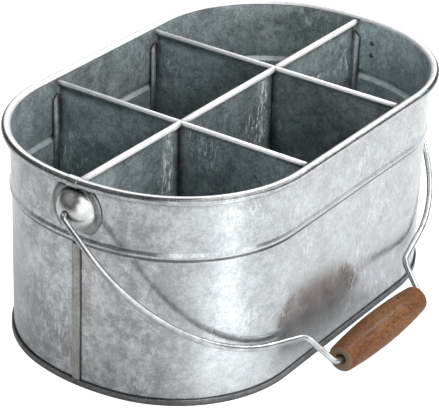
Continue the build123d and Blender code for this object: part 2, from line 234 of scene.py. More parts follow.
galvanised_sheet = galvanised(
    "galvanised sheet",
    dark=(0.33, 0.346, 0.36, 1.0),
    light=(0.57, 0.598, 0.615, 1.0),
    least_rough=0.13,
    metal=0.74,
    scratched=0.3,
    weathered_and_shaded=0.62,
)
# Painted light: the inner side's colours, paler and bluer than the outer side's, brighten the inside of
# the tub.
galvanised_inside = galvanised(
    "galvanised inside",
    dark=(0.3, 0.36, 0.38, 1.0),
    light=(0.86, 0.94, 0.95, 1.0),
    least_rough=0.32,
    metal=0.78,
    scratched=0.45,
)
# Painted highlight on the lower flank of the bead's groove inside, and below, painted shade on the bead's
# lower slope outside.
bead_painted_highlight = galvanised(
    "bead painted highlight",
    dark=(0.38, 0.41, 0.42, 1.0),
    light=(0.68, 0.71, 0.72, 1.0),
    least_rough=0.32,
    metal=0.3,
)
bead_painted_shade = galvanised(
    "bead painted shade",
    dark=(0.075, 0.077, 0.078, 1.0),
    light=(0.2, 0.203, 0.206, 1.0),
    least_rough=0.3,
    metal=0.8,
)
# Painted highlight on the rim's crest, and below, painted shade on its outer flank.
rim_painted_highlight = galvanised(
    "rim painted highlight",
    dark=(0.7, 0.71, 0.715, 1.0),
    light=(0.9, 0.91, 0.915, 1.0),
    least_rough=0.25,
    metal=0.35,
)
rim_painted_shade = galvanised(
    "rim painted shade",
    dark=(0.1, 0.101, 0.102, 1.0),
    light=(0.26, 0.263, 0.266, 1.0),
    least_rough=0.2,
    metal=0.85,
)


def points_of(parts):
    return [part for part in parts if isinstance(part, bmesh.types.BMVert)]


def edges_of(parts):
    return [part for part in parts if isinstance(part, bmesh.types.BMEdge)]


def round_off(bm, parts, kind, size, segments):
    """Rounds points or edges off."""
    bmesh.ops.bevel(bm, geom=parts, affect=kind, offset=size, segments=segments, profile=0.5, material=-1)


def draw_on(bm, line, step):
    """Draws a line of edges on by a step and gives back the new line's points and edges."""
    drawn = bmesh.ops.extrude_edge_only(bm, edges=edges_of(line))["geom"]
    points = points_of(drawn)
    bmesh.ops.translate(bm, verts=points, vec=step)
    return points + [edge for edge in edges_of(drawn) if all(point in points for point in edge.verts)]


def section_edges(bm, corners):
    """Draws a wall section at the front side's left end, from its corners, and divides its long edges."""
    points = [bm.verts.new((-CORNER_CENTRE_X, -HALF_WIDTH - out, up)) for out, up, _ in corners]
    for first, second in zip(points, points[1:]):
        bm.edges.new((first, second))
    for point, (_, _, rounding) in zip(points, corners):
        if rounding:
            round_off(bm, [point], "VERTICES", rounding, 5)
    long_edges = [edge for edge in bm.edges if edge.calc_length() > LONG_EDGE]
    bmesh.ops.subdivide_edges(bm, edges=long_edges, cuts=12)
    return bm.edges[:]


def carry_round(bm, section):
    """Carries a section's edges from the front side's left end once round the oval."""
    for side in (1, -1):
        section = draw_on(bm, section, (side * 2 * CORNER_CENTRE_X, 0, 0))
        arcs = [
            ((side * CORNER_CENTRE_X, -side * CORNER_INSET, 0), pi / 2 - JOIN_ANGLE, CORNER_STEPS),
            ((side * END_CENTRE_X, 0, 0), 2 * JOIN_ANGLE, END_STEPS),
            ((side * CORNER_CENTRE_X, side * CORNER_INSET, 0), pi / 2 - JOIN_ANGLE, CORNER_STEPS),
        ]
        for centre, angle, steps in arcs:
            spun = bmesh.ops.spin(bm, geom=section, cent=centre, axis=(0, 0, 1), angle=angle, steps=steps)
            section = spun["geom_last"]


def turn_outwards(bm, near, outward):
    """Turns an open sheet's faces alike, so that the one nearest to a point looks outwards there."""
    bmesh.ops.recalc_face_normals(bm, faces=bm.faces)
    face = min(bm.faces, key=lambda f: (f.calc_center_median() - Vector(near)).length)
    if face.normal.dot(Vector(outward)) < 0:
        bmesh.ops.reverse_faces(bm, faces=bm.faces)


def rim_part(look, looks_out, plain, crest, flank):
    """Tells by where a face of the rim looks whether it is on the crest, which takes a painted highlight,
    on the outer flank, which takes painted shade, or elsewhere.
    """
    if look.z > (CREST_FROM_OUTSIDE if looks_out else CREST_FROM_INSIDE):
        return crest
    if looks_out and look.z > FLANK_FROM_OUTSIDE:
        return flank
    return plain


def finished(name, bm, body, nodes=(), materials=(), thickness=0.0, offset=-1.0, inner=0):
    """Makes a piece from a mesh in millimetres: smooth, in metres, on its body, for its nodes.

    A sheet's single face gets its thickness here. Inner counts on from the finish of its one side,
    in the list of materials, to that of its other side.
    """
    bmesh.ops.scale(bm, vec=(MM, MM, MM), verts=bm.verts)
    for face in bm.faces:
        face.smooth = True
    mesh = bpy.data.meshes.new(name)
    bm.to_mesh(mesh)
    bm.free()
    piece = bpy.data.objects.new(name, mesh)
    bpy.context.scene.collection.objects.link(piece)
    for material in materials:
        mesh.materials.append(material)
    if thickness:
        solidify = piece.modifiers.new("sheet", "SOLIDIFY")
        solidify.thickness = thickness * MM
        solidify.offset = offset
        solidify.material_offset = inner
        solidify.use_even_offset = True
    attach(piece, body)
    if nodes:
        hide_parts(*nodes)


# The finishes of the sheet's outer and inner side. In the curl, the outer side lies in the hollow.
# The bead's lower slope takes painted shade outside and a painted highlight in its groove inside;
# the rim's crest takes a painted highlight and its outer flank painted shade.
wall_sides = [
    (galvanised_sheet, galvanised_inside),
    (galvanised_inside, galvanised_sheet),
    (bead_painted_shade, bead_painted_highlight),
    (galvanised_inside, rim_painted_highlight),
    (galvanised_inside, rim_painted_shade),
]
WALL, CURL, BEAD, CURL_CREST, CURL_FLANK = range(0, 2 * len(wall_sides), 2)

bm = bmesh.new()
carry_round(bm, section_edges(bm, WALL_CORNERS))
# The bead's lower slope takes painted shade outside and a painted highlight in its groove inside.
for face in bm.faces:
    on_bead = BEAD_SHADE_FOOT < face.calc_center_median().z < BEAD_SHADE_TOP
    face.material_index = BEAD if on_bead else WALL
wall_faces = set(bm.faces)
wall_edges = set(bm.edges)
curl_start = bm.verts.new((-CORNER_CENTRE_X, -HALF_WIDTH - BAND_PROUD, RIM_HEIGHT))
curl_axis = (-CORNER_CENTRE_X, -HALF_WIDTH - RIM_OUT, RIM_HEIGHT)
bmesh.ops.spin(bm, geom=[curl_start], cent=curl_axis, axis=(1, 0, 0), angle=RIM_CURL, steps=40)
carry_round(bm, [edge for edge in bm.edges if edge not in wall_edges])
for face in bm.faces:
    if face not in wall_faces:
        face.material_index = CURL
bmesh.ops.remove_doubles(bm, verts=bm.verts, dist=0.01)
turn_outwards(bm, (0, -HALF_WIDTH, 60), (0, -1, 0))
# The rim's crest takes a painted highlight and its outer flank painted shade.
for face in bm.faces:
    if face.material_index == CURL:
        look = -face.normal
        middle = face.calc_center_median()
        looks_out = look.x * middle.x + look.y * middle.y > 0
        face.material_index = rim_part(look, looks_out, CURL, CURL_CREST, CURL_FLANK)
finished(
    "wall_sheet",
    bm,
    "caddy",
    nodes=["wall_shell"],
    materials=[finish for sides in wall_sides for finish in sides],
    thickness=SHEET,
    inner=1,
)

# Lock seam: the wall's two ends hooked together and pressed flat, up the middle of the near end.
# It stands a little proud of the wall, with a crease along both sides, and its folds thicken the rim.
SEAM_WIDTH = 7.0
SEAM_PROUD = 1.2
SEAM_DEPTH = SEAM_PROUD + SHEET / 2
SEAM_LOW = 4.7
SEAM_ROUND = 0.5
SEAM_LAP_RADIUS = 3.9
SEAM_LAP_LENGTH = 9.0
SEAM_LAP_ROUND = 0.9
SEAM_SIDE_LOOK = 0.35

dull_seam = galvanised(
    "dull seam",
    dark=(0.18, 0.18, 0.177, 1.0),
    light=(0.37, 0.37, 0.364, 1.0),
    least_rough=0.3,
    metal=0.8,
)
# Painted shade in the creases along the strip's rounded sides.
seam_crease_shade = galvanised("seam crease shade", dark=CREASE_SHADE, light=BLOTCH_AND_SHADE, least_rough=0.4, metal=0.5)
seam_finishes = [galvanised_sheet, dull_seam, seam_crease_shade, rim_painted_highlight, rim_painted_shade]
LAP, STRIP, STRIP_SIDE, LAP_CREST, LAP_FLANK = range(len(seam_finishes))


def rise(edge):
    """How much higher one end of an edge lies than the other."""
    return abs(edge.verts[0].co.z - edge.verts[1].co.z)


bm = bmesh.new()
bmesh.ops.create_cube(bm, size=1.0)
bmesh.ops.scale(bm, vec=(SEAM_DEPTH, SEAM_WIDTH, BEAD_FOOT - SEAM_LOW), verts=bm.verts)
round_off(bm, [edge for edge in bm.edges if rise(edge) > 1], "EDGES", SEAM_ROUND, 4)
flats = [face for face in bm.faces if face.calc_area() > SEAM_WIDTH * 5]
bmesh.ops.inset_individual(bm, faces=flats, thickness=0.2)
seam_x = -HALF_LENGTH - SEAM_PROUD + SEAM_DEPTH / 2
bmesh.ops.translate(bm, vec=(seam_x, 0, (SEAM_LOW + BEAD_FOOT) / 2), verts=bm.verts)
strip = set(bm.verts)
bmesh.ops.create_cone(
    bm,
    cap_ends=True,
    segments=40,
    radius1=SEAM_LAP_RADIUS,
    radius2=SEAM_LAP_RADIUS,
    depth=SEAM_LAP_LENGTH,
)
lap_ends = [edge for edge in bm.edges if edge.verts[0] not in strip and rise(edge) < 1]
round_off(bm, lap_ends, "EDGES", SEAM_LAP_ROUND, 4)
lap = [point for point in bm.verts if point not in strip]
bmesh.ops.rotate(bm, cent=(0, 0, 0), matrix=Matrix.Rotation(pi / 2, 3, "X"), verts=lap)
bmesh.ops.translate(bm, vec=(-HALF_LENGTH - RIM_OUT, 0, RIM_HEIGHT), verts=lap)
bm.normal_update()
# The strip's rounded sides take the painted crease shade, and the lap at the rim the rim's painted
# highlight and painted shade.
for face in bm.faces:
    if face.calc_center_median().z > BEAD_TOP:
        face.material_index = rim_part(face.normal, face.normal.x < 0, LAP, LAP_CREST, LAP_FLANK)
    else:
        face.material_index = STRIP_SIDE if abs(face.normal.y) > SEAM_SIDE_LOOK else STRIP
finished("lock_seam", bm, "caddy", materials=seam_finishes)

# Bottom: a flat oval of the same sheet. Its edge is folded up round the wall's hooked foot and
# pressed down behind it, which leaves a narrow skirt all round.
SKIRT_OUT = 1.65
SKIRT_TOP = 4.6
FOLD_OUT = 0.1
FOLD_FOOT = 1.2
FLOOR_STRIP = 12.0
PAN_CORNERS = [
    (-FLOOR_STRIP, 0.0, 0.0),
    (SKIRT_OUT, 0.0, 0.5),
    (SKIRT_OUT, SKIRT_TOP, 0.55),
    (FOLD_OUT, SKIRT_TOP, 0.0),
    (FOLD_OUT, FOLD_FOOT, 0.0),
]

# Painted shade: the skirt is coloured nearly black, for the shaded floor right beside it that it mirrors.
skirt_painted_shade = galvanised(
    "skirt painted shade",
    dark=(0.07, 0.073, 0.075, 1.0),
    light=(0.2, 0.205, 0.21, 1.0),
    least_rough=0.3,
    metal=0.85,
)

bm = bmesh.new()
carry_round(bm, section_edges(bm, PAN_CORNERS))
bmesh.ops.remove_doubles(bm, verts=bm.verts, dist=0.01)
open_edges = [edge for edge in bm.edges if edge.is_boundary]
floor_edge = [edge for edge in open_edges if all(point.co.z < 0.1 for point in edge.verts)]
bmesh.ops.contextual_create(bm, geom=floor_edge)
turn_outwards(bm, (0, -HALF_WIDTH - SKIRT_OUT, SKIRT_TOP / 2), (0, -1, 0))
finished(
    "bottom_pan",
    bm,
    "caddy",
    nodes=["base_pan"],
    materials=[skirt_painted_shade, galvanised_inside],
    thickness=SHEET,
    inner=1,
)

# Dividers: one sheet along the tub and two across it, slotted into each other at half height.
# The top edges are rolled over, and the ends are bent into flanges that lie along the wall.
DIVIDER_TOP = 159.6
FLOOR_TOP = 0.55
SLOT_HEIGHT = (FLOOR_TOP + DIVIDER_TOP) / 2
SLOT_WIDTH = 0.8
CROSS_DIVIDER_X = 59.3
WALL_GAP = 0.1
FLANGE_WIDTH = 6.0
FLANGE_DROP = 7.0
FLANGE_SLANT = 4.0
FLANGE_BEND = 1.2
LONG_HEM_RADIUS = 2.1
LONG_HEM_LEG = 1.6
CROSS_HEM_RADIUS = 1.5
CROSS_HEM_LEG = 2.6
HEM_END = 0.5
# How far below the hem's axis the painted highlight reaches.
HEM_HIGHLIGHT_DROP = 1.0
NOTCH_PLAY = 0.15
STREAK_OFFSET = -12.0

rubbed_face = galvanised(
    "rubbed face",
    dark=(0.22, 0.27, 0.285, 1.0),
    light=(0.67, 0.75, 0.77, 1.0),
    least_rough=0.32,
    metal=0.78,
    scratched=0.85,
    rubbed_at=[(x + STREAK_OFFSET) * MM for x in (-CROSS_DIVIDER_X, CROSS_DIVIDER_X)],
)
# Painted shade: the cross dividers' faces are a darker copy of the long divider's finish, for the less
# light that falls on them.
cross_face_painted_shade = galvanised(
    "cross face painted shade",
    dark=(0.14, 0.165, 0.175, 1.0),
    light=(0.43, 0.48, 0.495, 1.0),
    least_rough=0.32,
    metal=0.78,
    scratched=0.45,
)
# Painted highlight: the rolled top edges are near white and hardly metal, so that they shine white.
hem_painted_highlight = galvanised(
    "hem painted highlight",
    dark=(0.88, 0.885, 0.89, 1.0),
    light=(0.97, 0.975, 0.98, 1.0),
    least_rough=0.35,
    metal=0.15,
)
# Painted shade: the bent flanges are coloured dark so that their bends don't shine.
flange_painted_shade = galvanised(
    "flange painted shade",
    dark=(0.07, 0.083, 0.088, 1.0),
    light=(0.22, 0.245, 0.252, 1.0),
    least_rough=0.32,
    metal=0.78,
)
WEB, HEM, FLANGE = range(3)


def cut_along(bm, point, normal):
    """Cuts all the faces along a plane."""
    parts = bm.verts[:] + bm.edges[:] + bm.faces[:]
    bmesh.ops.bisect_plane(bm, geom=parts, dist=0.001, plane_co=point, plane_no=normal)


def cut_slot(bm, x, width, low, high):
    """Takes a slot out of a divider between two heights."""
    for side in (-1, 1):
        cut_along(bm, (x + side * width / 2, 0, 0), (1, 0, 0))
    for height in (low, high):
        cut_along(bm, (0, 0, height), (0, 0, 1))
    middles = [(face, face.calc_center_median()) for face in bm.faces]
    slot = [face for face, middle in middles if abs(middle.x - x) < width / 2 and low < middle.z < high]
    bmesh.ops.delete(bm, geom=slot, context="FACES")


def divider(half_span, hem_radius, hem_leg):
    """Middle face of a divider along X: flanges and hem to -Y, made by extruding its plan upwards."""
    bm = bmesh.new()
    end = half_span - SHEET / 2
    hem_height = DIVIDER_TOP - hem_radius
    flange_top = hem_height - hem_leg - FLANGE_DROP
    corners = [(-end, -FLANGE_WIDTH), (-end, 0), (end, 0), (end, -FLANGE_WIDTH)]
    plan = [bm.verts.new((x, y, FLOOR_TOP)) for x, y in corners]
    for first, second in zip(plan, plan[1:]):
        bm.edges.new((first, second))
    round_off(bm, plan[1:3], "VERTICES", FLANGE_BEND, 5)
    raised = draw_on(bm, bm.edges[:], (0, 0, flange_top - FLOOR_TOP))
    for point in points_of(raised):
        if point.co.y < -FLANGE_WIDTH / 2:
            point.co.z -= FLANGE_SLANT
    web_top = [edge for edge in edges_of(raised) if all(abs(point.co.y) < 0.01 for point in edge.verts)]
    hem_start = draw_on(bm, web_top, (0, 0, hem_height - flange_top))
    hem_axis = (0, -(hem_radius - SHEET / 2), hem_height)
    hem = bmesh.ops.spin(bm, geom=hem_start, cent=hem_axis, axis=(1, 0, 0), angle=pi, steps=14)
    draw_on(bm, hem["geom_last"], (0, 0, -hem_leg))
    for side in (-1, 1):
        cut_along(bm, (side * (end - HEM_END), 0, 0), (1, 0, 0))
    # The hem and a strip just below it take the painted highlight.
    highlight_height = hem_height - HEM_HIGHLIGHT_DROP
    cut_along(bm, (0, 0, highlight_height), (0, 0, 1))
    hem_ends = []
    # The flanges' lower part takes painted shade.
    for face in bm.faces:
        middle = face.calc_center_median()
        if middle.z > highlight_height:
            face.material_index = HEM
        elif middle.z < flange_top and abs(middle.x) > end - FLANGE_BEND:
            face.material_index = FLANGE
        else:
            face.material_index = WEB
        on_hem = middle.z > hem_height or middle.z > flange_top and middle.y < -0.1
        if on_hem and abs(middle.x) > end - HEM_END:
            hem_ends.append(face)
    bmesh.ops.delete(bm, geom=hem_ends, context="FACES")
    return bm


long_reach = END_CENTRE_X + sqrt((END_RADIUS - SHEET) ** 2 - FLANGE_WIDTH**2) - WALL_GAP
bm = divider(long_reach, LONG_HEM_RADIUS, LONG_HEM_LEG)
for x in (-CROSS_DIVIDER_X, CROSS_DIVIDER_X):
    cut_slot(bm, x, SLOT_WIDTH, SLOT_HEIGHT, DIVIDER_TOP + 1)
    notch_x = x + SHEET / 2 - CROSS_HEM_RADIUS
    notch_foot = DIVIDER_TOP - CROSS_HEM_RADIUS - CROSS_HEM_LEG - NOTCH_PLAY
    cut_slot(bm, notch_x, 2 * (CROSS_HEM_RADIUS + NOTCH_PLAY), notch_foot, DIVIDER_TOP + 1)
turn_outwards(bm, (0, 0, 60), (0, 1, 0))
finished(
    "divider_long",
    bm,
    "caddy",
    nodes=["long_divider"],
    materials=[rubbed_face, hem_painted_highlight, flange_painted_shade],
    thickness=SHEET,
    offset=0.0,
)

past_side = max(CROSS_DIVIDER_X + FLANGE_WIDTH - CORNER_CENTRE_X, 0)
cross_reach = CORNER_INSET + sqrt((CORNER_RADIUS - SHEET) ** 2 - past_side**2) - WALL_GAP
for end, x in (("near", -CROSS_DIVIDER_X), ("far", CROSS_DIVIDER_X)):
    bm = divider(cross_reach, CROSS_HEM_RADIUS, CROSS_HEM_LEG)
    cut_slot(bm, 0, SLOT_WIDTH, 0, SLOT_HEIGHT)
    turn_outwards(bm, (50, 0, 60), (0, 1, 0))
    bmesh.ops.rotate(bm, cent=(0, 0, 0), matrix=Matrix.Rotation(-pi / 2, 3, "Z"), verts=bm.verts)
    bmesh.ops.translate(bm, vec=(x, 0, 0), verts=bm.verts)
    finished(
        "divider_cross_" + end,
        bm,
        "caddy",
        nodes=["cross_divider_" + end],
        materials=[cross_face_painted_shade, hem_painted_highlight, flange_painted_shade],
        thickness=SHEET,
        offset=0.0,
    )

# Ears: sheet pressed into a dome with a hole for the bail in its top, and a flange bent to the band.
# They are riveted to the band between the rim and the bead, one at each end of the tub.
EAR_SHEET = 0.8
EAR_GAP = 0.05
EAR_SEAT = BAND_PROUD + EAR_GAP
DOME_RADIUS = 15.75
DOME_HEIGHT = 12.0
DOME_SPHERE = (DOME_RADIUS**2 + DOME_HEIGHT**2) / (2 * DOME_HEIGHT)
EAR_FLANGE = 4.75
EAR_HALF_HEIGHT = 16.2
FOOT_ROUND = 1.2
PIVOT_HEIGHT = 137.75
PIVOT_HOLE = 2.9

dome_zinc = galvanised(
    "dome zinc",
    dark=(0.46, 0.465, 0.47, 1.0),
    light=(0.64, 0.645, 0.65, 1.0),
    least_rough=0.22,
    metal=0.95,
)
dull_flange = galvanised(
    "dull flange",
    dark=(0.13, 0.132, 0.135, 1.0),
    light=(0.32, 0.325, 0.33, 1.0),
    least_rough=0.3,
    metal=0.85,
)
DOME, EAR_EDGE = range(2)

sphere_x = DOME_HEIGHT - DOME_SPHERE
foot_x = EAR_SHEET + FOOT_ROUND
foot_angle = acos((foot_x - sphere_x) / (DOME_SPHERE + FOOT_ROUND))
foot_up = (DOME_SPHERE + FOOT_ROUND) * sin(foot_angle)
hole_angle = asin(PIVOT_HOLE / DOME_SPHERE)
seat_radius = END_RADIUS + EAR_SEAT
for name, side in (("ear_near", -1), ("ear_far", 1)):
    bm = bmesh.new()
    lip = bm.verts.new((sphere_x + DOME_SPHERE * cos(hole_angle), 0, PIVOT_HOLE))
    sphere_centre = (sphere_x, 0, 0)
    dome_turn = hole_angle - foot_angle
    dome = bmesh.ops.spin(bm, geom=[lip], cent=sphere_centre, axis=(0, 1, 0), angle=dome_turn, steps=26)
    dome_foot = dome["geom_last"]
    foot_centre = (foot_x, 0, foot_up)
    foot = bmesh.ops.spin(bm, geom=dome_foot, cent=foot_centre, axis=(0, 1, 0), angle=foot_angle, steps=6)
    edge = bmesh.ops.extrude_vert_indiv(bm, verts=foot["geom_last"])["verts"]
    bmesh.ops.translate(bm, verts=edge, vec=(0, 0, DOME_RADIUS + EAR_FLANGE - foot_up))
    profile = bm.verts[:] + bm.edges[:]
    bmesh.ops.spin(
        bm, geom=profile, cent=(0, 0, 0), axis=(1, 0, 0), angle=2 * pi, steps=72, use_merge=True
    )
    bmesh.ops.remove_doubles(bm, verts=bm.verts, dist=0.001)
    for way in (-1, 1):
        bmesh.ops.bisect_plane(
            bm,
            geom=bm.verts[:] + bm.edges[:] + bm.faces[:],
            dist=0.001,
            plane_co=(0, 0, way * EAR_HALF_HEIGHT),
            plane_no=(0, 0, way),
            clear_outer=True,
        )
    for face in bm.faces:
        on_dome = face.calc_center_median().x > EAR_SHEET + FOOT_ROUND / 2
        face.material_index = DOME if on_dome else EAR_EDGE
    for point in bm.verts:
        point.co.x -= seat_radius - sqrt(seat_radius**2 - point.co.y**2)
    bmesh.ops.translate(bm, vec=(END_CENTRE_X + seat_radius, 0, PIVOT_HEIGHT), verts=bm.verts)
    bmesh.ops.scale(bm, vec=(side, 1, 1), verts=bm.verts)
    turn_outwards(bm, (side * (HALF_LENGTH + DOME_HEIGHT), PIVOT_HOLE, PIVOT_HEIGHT), (side, 0, 0))
    # The word near ends in the same letters, so the near ear's piece is pressed_ear_npressed_ear.
    finished(
        name.replace("ear", "pressed_ear"),
        bm,
        "caddy",
        nodes=[name],
        materials=[dome_zinc, dull_flange],
        thickness=EAR_SHEET,
    )

# Rivets: four soft steel rivets hold each ear, two on either side of its dome.
# Their domed heads lie inside the wall, and their ends are set flush in the flange.
RIVET_SPACING = 10.0
RIVET_HEAD = 2.1
RIVET_DOME = 1.0
RIVET_DARK = (0.05, 0.055, 0.06, 1.0)
RIVET_LIGHT = (0.15, 0.16, 0.165, 1.0)

rivet_steel = Finish("rivet steel", Metallic=0.6)
tarnish = rivet_steel.noise(400.0, 3.0, 0.6)
rivet_steel.feed(
    Base_Color=rivet_steel.mix(tarnish, RIVET_DARK, RIVET_LIGHT),
    Roughness=0.4 + 0.2 * tarnish,
)

bm = bmesh.new()
band_inside = END_RADIUS + BAND_PROUD - SHEET
rivet_across = sqrt((DOME_RADIUS + EAR_FLANGE / 2) ** 2 - (RIVET_SPACING / 2) ** 2)
rivet_turn = asin(rivet_across / (END_RADIUS + BAND_PROUD))
for side in (-1, 1):
    for heading in (-rivet_turn, rivet_turn):
        for up in (-RIVET_SPACING / 2, RIVET_SPACING / 2):
            head = bmesh.ops.create_uvsphere(bm, u_segments=20, v_segments=10, radius=RIVET_HEAD)["verts"]
            bmesh.ops.scale(bm, vec=(RIVET_DOME / RIVET_HEAD, 1, 1), verts=head)
            bmesh.ops.translate(bm, vec=(band_inside, 0, PIVOT_HEIGHT + up), verts=head)
            bmesh.ops.rotate(bm, cent=(0, 0, 0), matrix=Matrix.Rotation(heading, 3, "Z"), verts=head)
            bmesh.ops.translate(bm, vec=(END_CENTRE_X, 0, 0), verts=head)
            bmesh.ops.scale(bm, vec=(side, 1, 1), verts=head)
bmesh.ops.recalc_face_normals(bm, faces=bm.faces)
finished("rivet_heads", bm, "caddy", nodes=["ear_rivets"], materials=[rivet_steel.material])

# Bail: one length of bright zinc-coated wire, bent flat. Its headed ends sit loose in the ears, and
# its straight middle runs through the grip. It hangs over the front side with the grip on the table.
WIRE_RADIUS = 2.35
WIRE_HEAD = 3.6
WIRE_HEAD_LENGTH = 1.6
WIRE_INNER_LENGTH = 3.0
BAIL_REACH = 186.0
BAIL_EAR_GAP = 0.3
EAR_BEND = 3.0
ARM_STRAIGHT = 30.0
ARM_SLOPE = radians(15.5)
SHOULDER_DROP = 27.5
SHOULDER_SPREAD = 9.0
SHOULDER_BEND = 9.9
GRIP_BEND = 6.9
GRIP_BEND_INSIDE = 5.0
GRIP_LENGTH = 106.0
GRIP_RADIUS = 12.8
GRIP_END_GAP = 0.5
TABLE_GAP = 0.1
ZINC_DARK = (0.27, 0.28, 0.285, 1.0)
ZINC_LIGHT = (0.44, 0.445, 0.45, 1.0)

zinc_wire = Finish("zinc wire", Metallic=0.85)
scuffs = zinc_wire.noise(260.0, 4.0, 0.65)
dull_runs = zinc_wire.step(zinc_wire.noise(90.0, 3.0, 0.6), 0.35, 0.7)
zinc_wire.feed(
    Base_Color=zinc_wire.mix(dull_runs, ZINC_DARK, ZINC_LIGHT),
    Roughness=0.12 + 0.1 * scuffs,
    Normal=zinc_wire.bump(scuffs, 0.1, 0.0003),
)

apex_x = HALF_LENGTH + EAR_SEAT + DOME_HEIGHT
arm_x = apex_x + BAIL_EAR_GAP + EAR_BEND
run_end_x = GRIP_LENGTH / 2 + GRIP_END_GAP + GRIP_BEND_INSIDE
shoulder_x = run_end_x + SHOULDER_SPREAD
shoulder_reach = BAIL_REACH - SHOULDER_DROP
elbow_reach = shoulder_reach - (arm_x - shoulder_x) * tan(ARM_SLOPE)
arm_bend = (elbow_reach - ARM_STRAIGHT) * tan(pi / 4 + ARM_SLOPE / 2)
tip_x = apex_x - EAR_SHEET - WIRE_INNER_LENGTH
bail_bends = [GRIP_BEND, SHOULDER_BEND, arm_bend, EAR_BEND]
bail_corners = [
    Vector((0, BAIL_REACH, 0)),
    Vector((run_end_x, BAIL_REACH, 0)),
    Vector((shoulder_x, shoulder_reach, 0)),
    Vector((arm_x, elbow_reach, 0)),
    Vector((arm_x, 0, 0)),
    Vector((tip_x, 0, 0)),
]
hang_angle = asin((PIVOT_HEIGHT - GRIP_RADIUS - TABLE_GAP) / BAIL_REACH)
bail_plane = Matrix(
    (
        (1, 0, 0, 0),
        (0, -cos(hang_angle), sin(hang_angle), 0),
        (0, -sin(hang_angle), -cos(hang_angle), PIVOT_HEIGHT),
        (0, 0, 0, 1),
    )
)

bm = bmesh.new()
circle = bmesh.ops.create_circle(bm, segments=20, radius=WIRE_RADIUS)["verts"]
bmesh.ops.rotate(bm, cent=(0, 0, 0), matrix=Matrix.Rotation(pi / 2, 3, "Y"), verts=circle)
bmesh.ops.translate(bm, vec=bail_corners[0], verts=circle)
ring = bm.edges[:]
drawn_to = bail_corners[0]
for before, corner, beyond, bend in zip(bail_corners, bail_corners[1:], bail_corners[2:], bail_bends):
    heading = (corner - before).normalized()
    leaving = (beyond - corner).normalized()
    turn = atan2(heading.cross(leaving).z, heading.dot(leaving))
    way = 1 if turn > 0 else -1
    tangent = bend * tan(abs(turn) / 2)
    bend_start = corner - heading * tangent
    ring = draw_on(bm, ring, bend_start - drawn_to)
    centre = bend_start + Vector((-heading.y, heading.x, 0)) * way * bend
    steps = max(8, round(abs(turn) * 22))
    spun = bmesh.ops.spin(bm, geom=ring, cent=centre, axis=(0, 0, way), angle=abs(turn), steps=steps)
    ring = spun["geom_last"]
    drawn_to = corner + leaving * tangent
ring = draw_on(bm, ring, bail_corners[-1] - drawn_to)
ring = draw_on(bm, ring, (0, 0, 0))
widen = WIRE_HEAD / WIRE_RADIUS
bmesh.ops.scale(bm, vec=(1, widen, widen), verts=points_of(ring))
ring = draw_on(bm, ring, (WIRE_HEAD_LENGTH, 0, 0))
bmesh.ops.contextual_create(bm, geom=edges_of(ring))
bmesh.ops.mirror(bm, geom=bm.verts[:] + bm.edges[:] + bm.faces[:], axis="X", merge_dist=0.01)
bmesh.ops.remove_doubles(bm, verts=bm.verts, dist=0.001)
bmesh.ops.transform(bm, matrix=bail_plane, verts=bm.verts)
bmesh.ops.recalc_face_normals(bm, faces=bm.faces)
finished("bail_rod", bm, "bail", nodes=["bail_wire"], materials=[zinc_wire.material])

# Grip: a barrel turned from reddish hardwood, stained and varnished, bored through to turn loosely
# on the bail's middle. Its ends are rounded over, and the bore opens out at both ends.
GRIP_END_RADIUS = 10.0
GRIP_ROUND = 2.6
GRIP_BORE = 2.8
MOUTH_RADIUS = 4.6
MOUTH_DEPTH = 2.5
WOOD_DARK = (0.12, 0.045, 0.015, 1.0)
WOOD_LIGHT = (0.185, 0.073, 0.026, 1.0)
WOOD_PATCH = (0.25, 0.12, 0.05, 1.0)
WOOD_PORE = (0.065, 0.025, 0.011, 1.0)
END_GRAIN = (0.17, 0.125, 0.08, 1.0)
END_GRAIN_STARTS_INSIDE = 1.5
END_GRAIN_FULL_INSIDE = 0.4

grip_wood = Finish("grip wood", Specular_IOR_Level=0.06, Coat_Weight=0.2, Coat_Roughness=0.26)
rings = grip_wood.noise(60.0, 5.0, 0.65, grip_wood.stretched((0.25, 3.0, 3.0)), 0.8)
pores = grip_wood.noise(420.0, 4.0, 0.75, grip_wood.stretched((0.6, 1.6, 1.6)))
patches = grip_wood.step(grip_wood.noise(24.0, 3.0, 0.5), 0.45, 0.68)
grip_half = GRIP_LENGTH / 2
from_middle = abs(grip_wood.coordinate("X"))
end_grain_start = (grip_half - END_GRAIN_STARTS_INSIDE) * MM
end_grain_full = (grip_half - END_GRAIN_FULL_INSIDE) * MM
end_grain = grip_wood.step(from_middle, end_grain_start, end_grain_full)
wood = grip_wood.mix(grip_wood.step(rings, 0.35, 0.65), WOOD_DARK, WOOD_LIGHT)
wood = grip_wood.mix(patches * 0.4, wood, WOOD_PATCH)
wood = grip_wood.mix(grip_wood.step(pores, 0.42, 0.6) * 0.7, wood, WOOD_PORE)
wood = grip_wood.mix(end_grain * 0.8, wood, END_GRAIN)
grip_wood.feed(
    Base_Color=wood,
    Roughness=0.42 + 0.2 * pores,
    Normal=grip_wood.bump(rings * 0.3 + pores, 0.25, 0.0004),
)

